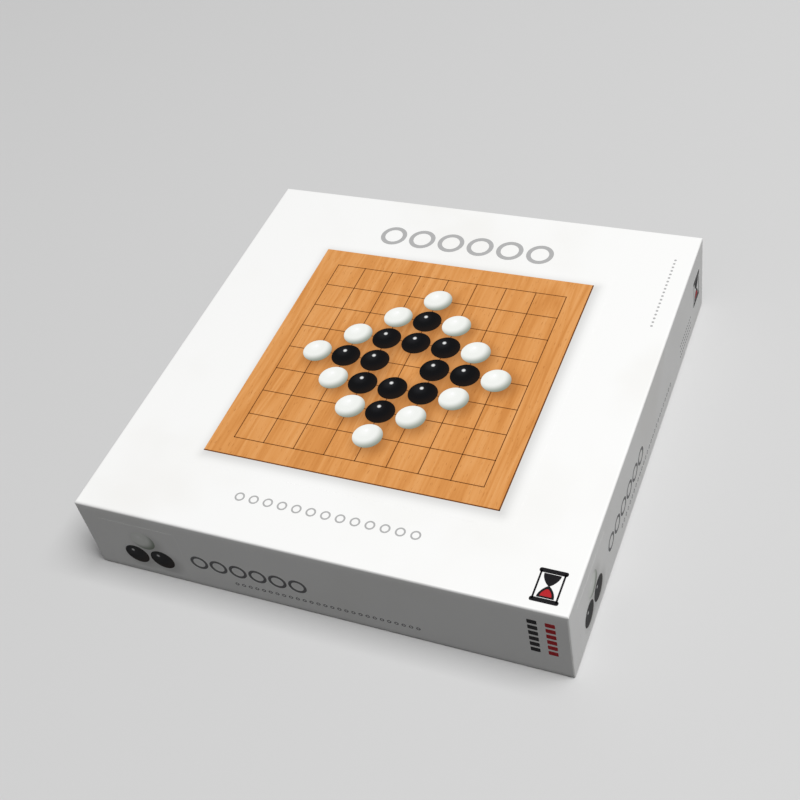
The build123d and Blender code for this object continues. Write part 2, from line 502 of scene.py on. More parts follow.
@dataclass(frozen=True)
class Beech:
    """Steamed solid beech, glued up from staves, sanded and oiled.

    It is warm orange brown, with fine growth lines along the staves, short dark ray flecks,
    and a low silky sheen from the oil. The cut grooves and dimples get painted shade, darker
    and redder the deeper they lie below the top. Its pores are drawn wider than real ones so that they
    show.
    """

    top_mm: float
    name: str = "oiled_beech"
    light: str = "E2A769"
    middle: str = "D89756"
    dark: str = "C48142"
    fleck: str = "9A6234"
    # The colour of the painted shade in the grooves and dimples.
    recess_shade: str = "A65C24"
    stave_mm: float = 48.0
    stave_spread_mm: Spot = (0.0, 900.0, 60.0)
    stave_tone: float = 0.35
    fibre_mm: Spot = (0.5, 14, 0.5)
    pore_depth: float = 0.02 * MM
    late_share: float = 0.3
    late_sharpness: float = 3.0
    fibre_share: float = 0.6
    tone_steps: Spot = (0.15, 0.45, 0.85)
    gloss_fade: Spot = (0.3, 0.7, 0.40, 0.54)
    ring_mm: float = 4.6
    drift_mm: Spot = (30, 260, 30)
    ring_drift_mm: float = 26.0
    heart_depth_mm: float = 30.0
    heart_spread_mm: float = 90.0
    heart_start_mm: float = -20.0
    glue_mm: float = 0.12
    glue_share: float = 0.5
    groove_mm: float = 2.4
    recess_shade_start_mm: float = 0.15
    recess_shade_share: float = 0.40
    rays: Patches = Patches((0.45, 3.6, 1.6), detail=1, low=0.64, high=0.72, strong=0.5)

    def make(self) -> Finish:
        """Mix the staves, growth rings, flecks and pores.

        Returns:
            The finished material.
        """
        mix = Mixture(bpy.data.materials.new(self.name), Roughness=0.46, IOR=1.5)
        x, _y, z = mix.add("SeparateXYZ", mix.mm).node.outputs
        number, draw, place = mix.staves(self.stave_mm, self.stave_spread_mm)
        edge = mix.add("Math", number, self.stave_mm, operation="MULTIPLY")
        aside = mix.add("Math", x, edge, operation="SUBTRACT")
        growth = self.growth(mix, aside, z, draw, place)
        late = mix.add("Math", growth, self.late_sharpness, operation="POWER")
        late = mix.add("Math", late, self.late_share, operation="MULTIPLY")
        fibre = mix.specks(self.fibre_mm, detail=3, twist=0.2, place=place)
        lines = mix.add("Math", fibre, self.fibre_share, late, operation="MULTIPLY_ADD")
        half = self.stave_mm / 2
        off = mix.add("Math", aside, half, operation="SUBTRACT")
        joint = mix.add("Math", off, operation="ABSOLUTE")
        # Painted shade: the grooves and dimples darken and redden with depth below the top, standing in
        # for the shade that falls in them.
        cut = mix.add("Math", self.top_mm, z, operation="SUBTRACT")
        within = mix.add("Math", cut, 2 * self.groove_mm, operation="LESS_THAN")
        depth = (self.recess_shade_start_mm, self.groove_mm)
        recess_depth_shade = mix.add("MapRange", cut, *depth, 0.0, self.recess_shade_share, **SOFT)
        seam = mix.add("MapRange", joint, half - self.glue_mm, half, 0.0, self.glue_share, **SOFT)
        layers = [
            (mix.add("MapRange", lines, *self.tone_steps[:2]), self.middle),
            (mix.add("MapRange", lines, *self.tone_steps[1:]), self.dark),
            (mix.add("MapRange", draw, 0.0, 1.0, 0.0, self.stave_tone, **SOFT), self.middle),
            (mix.patches(self.rays, place), self.fleck),
            (seam, self.fleck),
            # The painted shade in the grooves and dimples.
            (mix.add("Math", recess_depth_shade, within, operation="MULTIPLY"), self.recess_shade),
        ]
        gloss = mix.add("MapRange", fibre, *self.gloss_fade, **SOFT)
        return mix.finish(self.light, layers, [(fibre, self.pore_depth)], Roughness=gloss)

    def growth(self, mix: Mixture, aside: Socket, z: Socket, draw: Socket, place: Socket) -> Socket:
        """Draw the growth rings round each stave's own heart.

        Args:
            mix: the material being made.
            aside: the place across the stave in millimetres.
            z: the height in millimetres.
            draw: the stave's random share.
            place: the place in the tree.

        Returns:
            The socket with the share of a year's growth, from zero to one.
        """
        heart = mix.add("Math", draw, self.heart_spread_mm, self.heart_start_mm, operation="MULTIPLY_ADD")
        away = mix.add("Math", aside, heart, operation="SUBTRACT")
        depth = mix.add("Math", z, self.heart_depth_mm, operation="ADD")
        reach = mix.add("VectorMath", mix.add("CombineXYZ", away, depth), operation="LENGTH")
        drift = mix.specks(self.drift_mm, detail=2, twist=0.3, place=place)
        reach = mix.add("Math", drift, self.ring_drift_mm, reach, operation="MULTIPLY_ADD")
        years = mix.add("Math", reach, self.ring_mm, operation="DIVIDE")
        return mix.add("Math", years, operation="FRACT")


@dataclass(frozen=True)
class PressedGlass:
    """Opaque soda-lime glass, pressed and rolled into marbles.

    It is glossy, with a faint swirl of a second tone under the surface and small scuffs
    that dull the gloss here and there.
    """

    name: str
    tint: str
    swirl: str
    haze: float
    bands: Patches = Patches((9, 9, 5), detail=3, low=0.45, high=0.72, twist=2.5)
    scuffs: Patches = Patches(
        (2.2, 2.2, 2.2), detail=6, low=0.62, high=0.74, weak=0.05, strong=0.13, twist=1.0
    )
    ripple_mm: Spot = (5, 5, 5)
    ripple_depth: float = 0.01 * MM

    def make(self) -> Finish:
        """Mix the glass's swirl and gloss.

        Returns:
            The finished material.
        """
        haze = {"Subsurface_Weight": self.haze, "Subsurface_Radius": (1.0, 1.0, 0.9)}
        glass = bpy.data.materials.new(self.name)
        mix = Mixture(glass, Roughness=0.06, IOR=1.52, Subsurface_Scale=1.5 * MM, **haze)
        ripple = (mix.specks(self.ripple_mm, detail=2), self.ripple_depth)
        bands = (mix.patches(self.bands), self.swirl)
        return mix.finish(self.tint, [bands], [ripple], Roughness=mix.patches(self.scuffs))


@dataclass(frozen=True)
class GalvanisedWire:
    """Thin steel wire with a coat of zinc.

    The zinc is a light blue grey with small duller patches, still clearly a bright metal.
    """

    name: str = "galvanised_wire"
    bright: str = "B9BBBE"
    dull: str = "8E9194"
    patch_mm: Spot = (0.8, 0.8, 0.8)
    gloss: Patches = Patches((0.5, 0.5, 0.5), detail=3, low=0.3, high=0.7, weak=0.24, strong=0.42)

    def make(self) -> Finish:
        """Mix the zinc's patches and gloss.

        Returns:
            The finished material.
        """
        mix = Mixture(bpy.data.materials.new(self.name), Metallic=1.0)
        dull = (mix.specks(self.patch_mm, detail=3), self.dull)
        return mix.finish(self.bright, [dull], Roughness=mix.patches(self.gloss))


class Workpiece:
    """A mesh that is shaped with hand tools, one after another."""

    def __init__(self, name: str) -> None:
        """Take up the object that was just added."""
        self.body = bpy.context.object
        self.rename(name).settle()

    @classmethod
    def start(cls, name: str, operator: Callable[..., Any], **settings: Any) -> "Workpiece":
        """Start from a primitive.

        Args:
            name: what the finished piece is called.
            operator: adds the primitive.
            settings: what the operator takes.

        Returns:
            The new piece.
        """
        deselect()
        operator(**settings)
        return cls(name)

    @classmethod
    def block(cls, name: str, low: Vector, high: Vector) -> "Workpiece":
        """Start from a cube between two corners."""
        span = {"location": (low + high) / 2, "scale": high - low}
        return cls.start(name, bpy.ops.mesh.primitive_cube_add, size=1, **span)

    @classmethod
    def disc(cls, name: str, radius: float, sides: int = 48) -> "Workpiece":
        """Start from a flat round face at the origin."""
        outline = {"vertices": sides, "radius": radius, "fill_type": "NGON"}
        return cls.start(name, bpy.ops.mesh.primitive_circle_add, **outline)

    @classmethod
    def sheet(cls, name: str, size: Spot, parts: Sequence[int] = (1, 1)) -> "Workpiece":
        """Start from a flat rectangle at the origin.

        Args:
            name: what the finished piece is called.
            size: its size along X and Y.
            parts: how many faces it has along X and Y.

        Returns:
            The new piece.
        """
        grid = {"x_subdivisions": parts[0], "y_subdivisions": parts[1], "size": 1}
        piece = cls.start(name, bpy.ops.mesh.primitive_grid_add, **grid)
        return piece.move(Matrix.Diagonal((*size, 1, 1)))

    def copy(self, name: str) -> "Workpiece":
        """Make a copy of the piece, with a mesh of its own.

        Args:
            name: what the copy is called.

        Returns:
            The copy.
        """
        self.take_up()
        bpy.ops.object.duplicate(linked=False)
        return Workpiece(name)

    def repeat(self, places: Sequence[Spot]) -> "Workpiece":
        """Put a flat shape and copies of it in their places in millimetres, and join them."""
        copies = [self.copy("copied_shape").move(shift(*place)) for place in places[1:]]
        return self.move(shift(*places[0])).join(*copies)

    def rename(self, name: str) -> "Workpiece":
        """Name the piece and its mesh."""
        self.body.name = self.body.data.name = name
        return self

    def take_up(self) -> None:
        """Select the piece alone, for the next operator."""
        deselect()
        self.body.select_set(True)
        bpy.context.view_layer.objects.active = self.body

    def settle(self) -> "Workpiece":
        """Put the piece's place, turn and scale into its mesh.

        Returns:
            The piece.
        """
        self.take_up()
        bpy.ops.object.transform_apply(location=True, rotation=True, scale=True)
        return self

    def move(self, matrix: Matrix) -> "Workpiece":
        """Turn, shift or stretch the piece."""
        self.body.matrix_world = matrix
        return self.settle()

    @contextmanager
    def picked(self, element: Element, test: Test) -> Iterator[None]:
        """Work in edit mode on the elements that pass a test.

        Args:
            element: which kind of element is picked.
            test: says yes or no from an element's middle and its direction, which is the
                normal of a face or corner, or the way that an edge runs.

        Yields:
            Nothing: the caller's operators act on what is picked.
        """
        self.take_up()
        bpy.ops.object.mode_set(mode="EDIT")
        bpy.ops.mesh.select_mode(type=element.value)
        bpy.ops.mesh.select_all(action="DESELECT")
        mesh = bmesh.from_edit_mesh(self.body.data)
        if element is Element.CORNER:
            found = [v for v in mesh.verts if test(v.co, v.normal)]
        elif element is Element.EDGE:
            found = [e for e in mesh.edges if test(*middle_and_way(e))]
        else:
            found = [f for f in mesh.faces if test(f.calc_center_median(), f.normal)]
        for item in found:
            item.select_set(True)
        mesh.select_flush_mode()
        bmesh.update_edit_mesh(self.body.data)
        yield
        bpy.ops.object.mode_set(mode="OBJECT")

    def merge(self) -> None:
        """Merge corners that lie on each other."""
        with self.picked(Element.CORNER, anything):
            bpy.ops.mesh.remove_doubles(threshold=TINY)

    def cut_away(self, test: Test) -> "Workpiece":
        """Take away the faces that pass a test.

        Args:
            test: says yes or no from a face's middle and normal.

        Returns:
            The piece.
        """
        with self.picked(Element.FACE, test):
            bpy.ops.mesh.delete(type="FACE")
        return self

    def round_edges(self, test: Test, radius: float, steps: int) -> None:
        """Round the edges that pass a test."""
        with self.picked(Element.EDGE, test):
            bpy.ops.mesh.bevel(offset=radius, segments=steps, affect="EDGES")

    def divide(self, test: Test, place: Spot, way: Spot) -> None:
        """Divide the faces that pass a test along a plane."""
        with self.picked(Element.FACE, test):
            bpy.ops.mesh.bisect(plane_co=place, plane_no=way)

    def modify(self, kind: str, **settings: Any) -> None:
        """Add one modifier and apply it.

        Args:
            kind: the modifier's type.
            settings: its properties.
        """
        self.take_up()
        modifier = self.body.modifiers.new(kind.lower(), kind)
        for key, value in settings.items():
            setattr(modifier, key, value)
        bpy.ops.object.modifier_apply(modifier=modifier.name)

    def thicken(self, thickness: float, offset: float = -1.0) -> None:
        """Give a sheet its thickness: behind its faces, or round them at 0, or before them at 1."""
        self.modify("SOLIDIFY", thickness=thickness, offset=offset, use_even_offset=True)

    def smooth(self, angle: float = 40.0) -> None:
        """Shade folds as round and flat faces as flat.

        Args:
            angle: the least angle in degrees between faces that stays a crisp edge.
        """
        self.take_up()
        bpy.ops.object.shade_smooth_by_angle(angle=math.radians(angle))
        self.modify("WEIGHTED_NORMAL", keep_sharp=True, weight=100)

    def join(self, *others: "Workpiece") -> "Workpiece":
        """Join other pieces to this one.

        Args:
            others: the pieces that become part of it.

        Returns:
            The joined piece.
        """
        self.take_up()
        for other in others:
            other.body.select_set(True)
        bpy.ops.object.join()
        return self

    def dress(self, material: Finish, body: str, slot: str, *nodes: str) -> None:
        """Give the finished piece its material and its place in the frame.

        Args:
            material: what it is made of.
            body: the moving body that carries it.
            slot: the record's material slot, which is not used.
            nodes: the construction nodes that it stands for.
        """
        self.body.data.materials.clear()
        self.body.data.materials.append(material)
        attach(self.body, body)
        if nodes:
            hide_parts(*nodes)
        log.info("%s: %d faces on %s", self.body.name, len(self.body.data.polygons), body)


def deselect() -> None:
    """Leave nothing selected."""
    bpy.ops.object.select_all(action="DESELECT")


def anything(_at: Vector, _way: Vector) -> bool:
    """Pick every element."""
    return True


def top_face(_at: Vector, way: Vector) -> bool:
    """Pick a block's top."""
    return way.z > MOSTLY


def middle_and_way(edge: bmesh.types.BMEdge) -> tuple[Vector, Vector]:
    """An edge's middle and the way that it runs."""
    first, last = (v.co for v in edge.verts)
    return (first + last) / 2, (last - first).normalized()


def shift(x_mm: float, y_mm: float) -> Matrix:
    """A shift along X and Y."""
    return Matrix.Translation((x_mm * MM, y_mm * MM, 0))


def rise(height: float) -> Matrix:
    """A shift along Z."""
    return Matrix.Translation((0, 0, height))


def row(start: float, stop: float, count: int) -> Spot:
    """Evenly spaced places from start to stop."""
    return tuple(start + (stop - start) * i / (count - 1) for i in range(count))


@dataclass
class WrappedTray:
    """A square tray of scored greyboard with paper wound round it and turned in at the rim."""

    name: str
    opening: Opening
    wrap_paper: Finish
    fold_round: float = 1.5 * MM
    fold_steps: int = 6
    corner_round: float = 0.8 * MM
    corner_steps: int = 4
    rim_round: float = 0.6 * MM
    rim_steps: int = 3
    wall: float = 2.5 * MM
    turn_in: float = 15 * MM
    skin_depth: float = 0.15 * MM
    paper: float = 0.09 * MM
    overlap: float = 0.12 * MM
    overlap_taper: float = 3 * MM
    lining_fold: float = 0.4 * MM
    lining_steps: int = 3
    lining_depth: float = 0.1 * MM
    lining_paper: float = 0.08 * MM

    def build(self) -> None:
        """Build and dress the wrap and the lining."""
        self.wrap().dress(self.wrap_paper, self.name, "wrap_paper", f"{self.name}_wrap")
        lining = PlainPaper(f"{self.name}_lining_paper", "F3F2EE", "DAD7CF").make()
        self.lining().dress(lining, self.name, "lining_paper", f"{self.name}_lining")

    def open_block(self, name: str, half: float, foot: float, rim: float) -> Workpiece:
        """Start from a block without its top."""
        low, high = Vector((-half, -half, foot)), Vector((half, half, rim))
        return Workpiece.block(f"{self.name}_{name}", low, high).cut_away(top_face)

    def wrap(self) -> Workpiece:
        """Wind the paper round the board.

        Returns:
            The wrap: outer skin, rounded folds, rim and turned-in edge in one sheet.
        """
        low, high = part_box(f"{self.name}_wrap")
        skin = self.skin_depth
        half = high.x - skin
        rim = high.z - low.z - skin
        piece = self.open_block("wrap_paper", half, skin, rim)
        piece.round_edges(lambda at, way: at.z < skin + TINY, self.fold_round - skin, self.fold_steps)
        piece.round_edges(lambda at, way: abs(way.z) > FULLY, self.corner_round - skin, self.corner_steps)
        across = 1 - (self.wall - skin - self.paper) / half
        with piece.picked(Element.EDGE, lambda at, way: at.z > rim - TINY):
            bpy.ops.mesh.extrude_region()
            bpy.ops.transform.resize(value=(across, across, 1))
            bpy.ops.mesh.extrude_region()
            bpy.ops.transform.translate(value=(0, 0, -self.turn_in))

        def runs_round(at: Vector, way: Vector) -> bool:
            """Whether an edge runs round the rim, at its outer or inner line."""
            swept = abs(at.x * way.y - at.y * way.x)
            return at.z > rim - TINY and swept > at.xy.length / 2

        piece.round_edges(runs_round, self.rim_round - skin, self.rim_steps)
        for side in (-1, 1):
            self.overlap_side(piece, side, half, rim)
        piece.merge()
        return self.stood(piece, self.paper, low.z, high.z)

    def overlap_side(self, piece: Workpiece, side: int, half: float, rim: float) -> None:
        """Raise the flap of paper that laps over the corner tabs of the front or back.

        Args:
            piece: the wrap.
            side: -1 for the front and 1 for the back.
            half: half the side of the paper's skin.
            rim: the height of the rim.
        """

        def outer(at: Vector, way: Vector) -> bool:
            """Whether a face lies flat on this side's skin."""
            return way.y * side > FULLY and at.y * side > half - TINY

        ends = (self.fold_round, rim - self.rim_round + self.skin_depth)
        for level in (ends[0] + self.overlap_taper, ends[1] - self.overlap_taper):
            piece.divide(outer, (0, 0, level), (0, 0, 1))
        with piece.picked(Element.FACE, outer):
            bpy.ops.mesh.extrude_region()
            bpy.ops.transform.translate(value=(0, side * self.overlap, 0))

        def proud_end(at: Vector, way: Vector) -> bool:
            """Whether a corner is raised and lies at the flap's upper or lower end."""
            away = min(abs(at.z - end) for end in ends)
            return at.y * side > half + TINY and away < self.overlap_taper / 2

        with piece.picked(Element.CORNER, proud_end):
            bpy.ops.transform.translate(value=(0, -side * self.overlap, 0))

    def lining(self) -> Workpiece:
        """Line the tray's floor and walls with one folded sheet.

        Returns:
            The lining.
        """
        low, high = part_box(f"{self.name}_lining")
        height = high.z - low.z
        piece = self.open_block("lining_sheet", high.x - self.lining_depth, self.lining_depth, height)
        piece.round_edges(lambda at, way: at.z < height - TINY, self.lining_fold, self.lining_steps)
        with piece.picked(Element.FACE, anything):
            bpy.ops.mesh.flip_normals()
        return self.stood(piece, self.lining_paper, low.z, high.z)

    def stood(self, piece: Workpiece, paper: float, low: float, high: float) -> Workpiece:
        """Thicken the sheet and stand it at its height, turned over if its opening looks down.

        Args:
            piece: what was made with its opening upwards and its foot at zero.
            paper: its thickness.
            low: the lowest height of its place.
            high: the highest height of its place.

        Returns:
            The finished piece.
        """
        piece.thicken(paper)
        turned = rise(high) @ Matrix.Rotation(math.pi, 4, "X")
        piece.move(rise(low) if self.opening is Opening.UP else turned)
        piece.smooth()
        return piece


@dataclass(frozen=True)
class Ring:
    """A plain ring."""

    diameter: float
    stroke: float

    def cut(self) -> Workpiece:
        """Cut it flat at the origin.

        Returns:
            The flat ring.
        """
        piece = Workpiece.disc("ring", self.diameter / 2 * MM)
        with piece.picked(Element.FACE, anything):
            bpy.ops.mesh.inset(thickness=self.stroke * MM)
            bpy.ops.mesh.delete(type="FACE")
        return piece


@dataclass(frozen=True)
class Bar:
    """A rectangle with rounded corners."""

    width: float
    height: float
    rounding: float = 0.1

    def cut(self) -> Workpiece:
        """Cut it flat at the origin.

        Returns:
            The flat bar.
        """
        piece = Workpiece.sheet("bar", (self.width * MM, self.height * MM))
        with piece.picked(Element.CORNER, anything):
            bpy.ops.mesh.bevel(offset=self.rounding * MM, segments=3, affect="VERTICES")
        return piece


@dataclass(frozen=True)
class Stone:
    """A round stone, with its own place on it kept for the painted light."""

    diameter: float

    def cut(self) -> Workpiece:
        """Cut it flat at the origin.

        Returns:
            The flat stone.
        """
        radius = self.diameter / 2 * MM
        piece = Workpiece.disc("stone", radius)
        with piece.picked(Element.FACE, anything):
            bpy.ops.mesh.inset(thickness=radius / 3)
            bpy.ops.mesh.poke()
        local = piece.body.data.attributes.new("stone", "FLOAT_VECTOR", "POINT")
        for corner, value in zip(piece.body.data.vertices, local.data):
            value.vector = corner.co / radius
        return piece


@dataclass(frozen=True)
class Bulbs:
    """The outline of an hourglass's bulbs, or of a heap of sand, which narrows to its top."""

    width: float
    height: float
    waist: float
    heap: bool = False
    cuts: int = 15
    fullness: float = 0.8

    def cut(self) -> Workpiece:
        """Cut it flat at the origin.

        Returns:
            The flat shape.
        """
        piece = Workpiece.sheet("bulbs", (self.width * MM, self.height * MM))
        with piece.picked(Element.EDGE, lambda at, way: abs(way.y) > MOSTLY):
            bpy.ops.mesh.subdivide(number_cuts=self.cuts)
        for corner in piece.body.data.vertices:
            level = corner.co.y / (self.height * MM)
            share = max(0.0, min(1.0, (0.5 - level) if self.heap else abs(2 * level)))
            swell = math.sin(share * math.pi / 2) ** self.fullness
            corner.co.x *= self.waist + (1 - self.waist) * swell
        return piece


@dataclass(frozen=True)
class Ornament:
    """An even block of equal small shapes on a page."""

    name: str
    ink: Ink
    shape: Ring | Bar
    across: Spot
    up: Spot


@dataclass
class Page:
    """One printed face, on which flat shapes are cut and laid as a thin film of ink.

    Places and sizes are in millimetres, rightwards and upwards from the middle of the face,
    as seen by someone who looks at it. A stone group's steps and sheet are shares of a stone's
    diameter.
    """

    name: str
    place: Matrix
    paper: Finish
    inks: dict[Ink, Finish]
    body: str = "lid"
    slot: str = "wrap_paper"
    film: float = 0.02 * MM
    stone_step: Spot = (0.55, 0.48)
    shadow_sheet: Spot = (3.2, 2.7)
    shadow_depth: float = 0.4
    shadow_step: float = 1.0
    fading: float = 3.0

    def lay(self, shape: Workpiece, name: str, ink: Optional[Ink] = None, height: float = 0) -> None:
        """Give a flat shape the film's thickness and print it.

        Args:
            shape: the flat shape.
            name: what the printed piece is called, after the page.
            ink: what it is printed with, where it isn't the page's own paper.
            height: how high over the page its lower side lies.
        """
        shape.rename(f"{self.name}_{name}").thicken(self.film, 1.0)
        shape.move(self.place @ rise(height))
        shape.dress(self.inks[ink] if ink else self.paper, self.body, self.slot)

    def ornament(self, block: Ornament) -> None:
        """Print an even block of small shapes."""
        places = [(x, y) for x in block.across for y in block.up]
        self.lay(block.shape.cut().repeat(places), block.name, block.ink)

    def shaded_sheet(self, size: Spot, middle: Spot, step: float, shade: Shade) -> Workpiece:
        """Cut a rectangle that carries painted soft shadows.

        Args:
            size: its width and height.
            middle: its middle.
            step: about how large each of its faces is.
            shade: gives how dark the print is at a place.

        Returns:
            The flat sheet.
        """
        piece = Workpiece.sheet("ground", Vector(size) * MM, [round(s / step) for s in size])
        piece.move(shift(*middle))
        values = piece.body.data.attributes.new("shade", "FLOAT", "POINT")
        for corner, value in zip(piece.body.data.vertices, values.data):
            value.value = shade(corner.co.x * IN_MM, corner.co.y * IN_MM)
        return piece

    def stones(self, black: list[Spot], white: list[Spot], diameter: float, height: float) -> None:
        """Print stones of one diameter, at a height over the page."""
        for places, ink in ((black, Ink.BLACK_STONE), (white, Ink.WHITE_STONE)):
            self.lay(Stone(diameter).cut().repeat(places), f"{ink.name.lower()}s", ink, height)

    def stone_group(self, middle: Spot, diameter: float) -> None:
        """Print one white stone above two black ones, with their soft shadows.

        Args:
            middle: the middle of the group.
            diameter: the stones' diameter.
        """
        x, y = middle
        aside, up = (share * diameter for share in self.stone_step)
        black = [(x - aside, y - up), (x + aside, y - up)]
        white = [(x, y + up)]
        size = [share * diameter for share in self.shadow_sheet]
        shadow = soft_discs(black + white, diameter, self.shadow_depth)

        def faded(u: float, v: float) -> float:
            """The shadow, which ends softly before its sheet does."""
            inset = min(size[0] / 2 - abs(u - x), size[1] / 2 - abs(v - y))
            return shadow(u, v) * max(0.0, min(1.0, inset / self.fading))

        self.lay(self.shaded_sheet(size, middle, self.shadow_step, faded), "stones_shadow")
        self.stones(black, white, diameter, self.film / 2)

    def hourglass(self, middle: Spot, height: float) -> None:
        """Print an hourglass with red sand.

        Args:
            middle: its middle.
            height: its height.
        """
        width, cap, post = 0.74 * height, 0.13 * height, 0.05 * height
        bulbs = height - 2.2 * cap
        level = (height - cap) / 2
        aside = (width - 2.6 * post) / 2
        caps = Bar(width, cap, rounding=cap / 2.5).cut().repeat([(0, -level), (0, level)])
        posts = Bar(post, height - cap).cut().repeat([(-aside, 0), (aside, 0)])
        glass = caps.join(posts, Bulbs(0.60 * width, bulbs, waist=0.09).cut())
        self.lay(glass.move(shift(*middle)), "hourglass", Ink.BLACK)
        sand = Bulbs(0.40 * width, 0.3 * bulbs, waist=0.12, heap=True).cut()
        sand.move(shift(middle[0], middle[1] - 0.28 * bulbs))
        self.lay(sand, "hourglass_sand", Ink.RED, self.film / 2)


def soft_discs(places: Sequence[Spot], diameter: float, depth: float = 0.55) -> Shade:
    """The soft shadows that painted stones throw to their lower right.

    Args:
        places: the stones' middles.
        diameter: their diameter.
        depth: how dark one shadow is at its middle.

    Returns:
        A function that gives how dark the print is at a place.
    """
    radius, aside, blur = diameter / 2, 0.16 * diameter, 0.42 * diameter

    def shade(x: float, y: float) -> float:
        """How dark the print is at a place.

        Args:
            x: the place rightwards.
            y: the place upwards.

        Returns:
            The darkness, from zero to one.
        """
        light = 1.0
        for u, v in places:
            away = math.hypot(x - u - aside, y - v + aside)
            if away < radius + blur:
                share = min(1.0, (radius + blur - away) / (2 * blur))
                light *= 1 - depth * share * share * (3 - 2 * share)
        return 1 - light

    return shade


@dataclass
class LidPrint:
    """What is printed on the lid: a picture, plain ornaments, and no words or marks."""

    paper: Finish
    inks: dict[Ink, Finish]
    picture_middle: Spot = (1.5, -1.0)
    picture_side: float = 158.0
    picture_edge: float = 0.7
    picture_step: float = 1.5
    grid_reach: int = 4
    grid_pitch: float = 16.8
    grid_line: float = 0.5
    stone: float = 15.6
    halo: float = 9.0
    halo_reach: float = 6.75
    halo_step: float = 2.0
    halo_aside: float = 1.6
    halo_depth: float = 0.28
    hourglass: float = 18.0
    top_hourglass: Spot = (114.6, -114.0)
    side_hourglass: Spot = (112.0, 25.0)
    side_stones: Spot = (-94.1, 21.5)
    side_stone: float = 13.6
    paper_depth: float = 0.15 * MM
    overlap_depth: float = 0.03 * MM
    layer: float = 0.03 * MM
    top: Sequence[Ornament] = (
        Ornament("large_rings", Ink.PALE_GREY, Ring(15.4, 2.6), row(-43.5, 44.5, 6), (96.5,)),
        Ornament("small_rings", Ink.PALE_GREY, Ring(5.2, 0.9), row(-45.0, 47.5, 13), (-103.0,)),
        Ornament("dots", Ink.PALE_GREY, Bar(1.3, 1.3, 0.5), (117.5,), row(54, 106, 19)),
    )
    sides: Sequence[Ornament] = (
        Ornament("large_rings", Ink.DARK_GREY, Ring(9.8, 1.6), row(-63.5, -9.0, 6), (20.6,)),
        Ornament("small_rings", Ink.DARK_GREY, Ring(2.2, 0.5), row(-45.0, 52.0, 27), (9.6,)),
    )
    squares: Sequence[Ornament] = (
        Ornament("black_squares", Ink.BLACK, Bar(4.6, 3.0, 0.4), (110.0,), row(17.0, 39.0, 6)),
        Ornament("red_squares", Ink.RED, Bar(4.6, 3.0, 0.4), (118.4,), row(17.0, 39.0, 6)),
    )
    dots: Sequence[Ornament] = (
        Ornament("dots", Ink.DARK_GREY, Bar(1.1, 1.1, 0.4), row(75, 98, 11), row(8.0, 16.0, 3)),
    )

    def build(self) -> None:
        """Print the top and the four sides."""
        self.print_top(self.page(Face.TOP, self.paper_depth))
        for face in (Face.FRONT, Face.BACK):
            self.print_side(self.page(face, self.overlap_depth), self.squares)
        for face in (Face.RIGHT, Face.LEFT):
            page = self.page(face, self.paper_depth)
            self.print_side(page, self.dots)
            page.hourglass(self.side_hourglass, self.hourglass)

    def page(self, face: Face, depth: float) -> Page:
        """One face of the lid to print on.

        Args:
            face: the face of the lid.
            depth: how far under the construction's face the paper lies there.

        Returns:
            The page. On a side, its middle is at the table's height.
        """
        _low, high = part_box("lid_wrap")
        if face is Face.TOP:
            place = rise(high.z - depth)
        else:
            upright = Matrix.Rotation(math.pi / 2, 4, "X")
            outwards = Matrix.Translation((0, depth - high.x, 0))
            place = Matrix.Rotation(face.value * math.pi / 2, 4, "Z") @ outwards @ upright
        return Page(f"lid_{face.name.lower()}", place, self.paper, self.inks)

    def picture_shadow(self, x: float, y: float) -> float:
        """How dark the soft shadow round the picture is at a place.

        Args:
            x: the place rightwards in millimetres.
            y: the place upwards in millimetres.

        Returns:
            The darkness, from zero to one.
        """
        middle_x, middle_y = self.picture_middle
        u = abs(x - middle_x - self.halo_aside) - self.picture_side / 2
        v = abs(y - middle_y + self.halo_aside) - self.picture_side / 2
        share = max(0.0, 1 - math.hypot(max(u, 0), max(v, 0)) / self.halo_reach)
        return self.halo_depth * share * share

    def print_top(self, page: Page) -> None:
        """Print the picture and the ornaments on the top.

        Args:
            page: the top.
        """
        side = self.picture_side
        middle = self.picture_middle
        outer = side + 2 * self.halo
        halo = page.shaded_sheet((outer, outer), middle, self.halo_step, self.picture_shadow)
        page.lay(halo, "picture_halo")

        steps = range(-self.grid_reach, self.grid_reach + 1)
        u, v = middle
        pitch = self.grid_pitch
        cross = {(i, j): (u + i * pitch, v + j * pitch) for i in steps for j in steps}
        black = [place for (i, j), place in cross.items() if abs(i) + abs(j) in (1, 2)]
        white = [place for (i, j), place in cross.items() if abs(i) + abs(j) == 3]
        shadows = soft_discs(black + white, self.stone)
        picture = page.shaded_sheet((side, side), middle, self.picture_step, shadows)
        page.lay(picture, "picture", Ink.WOOD, self.layer)

        length = 2 * self.grid_reach * pitch + self.grid_line
        upright = Bar(self.grid_line, length).cut().repeat([cross[i, 0] for i in steps])
        level = Bar(length, self.grid_line).cut().repeat([cross[0, j] for j in steps])
        inset = (side - self.picture_edge) / 2
        right = Bar(self.picture_edge, side).cut().move(shift(u + inset, v))
        front = Bar(side, self.picture_edge).cut().move(shift(u, v - inset))
        page.lay(upright.join(level, right, front), "grid_lines", Ink.LINE, 2 * self.layer)
        page.stones(black, white, self.stone, 3 * self.layer)
        for block in self.top:
            page.ornament(block)
        page.hourglass(self.top_hourglass, self.hourglass)

    def print_side(self, page: Page, ends: Sequence[Ornament]) -> None:
        """Print one side of the lid.

        Args:
            page: the side.
            ends: what stands at its right end.
        """
        page.stone_group(self.side_stones, self.side_stone)
        for block in (*self.sides, *ends):
            page.ornament(block)


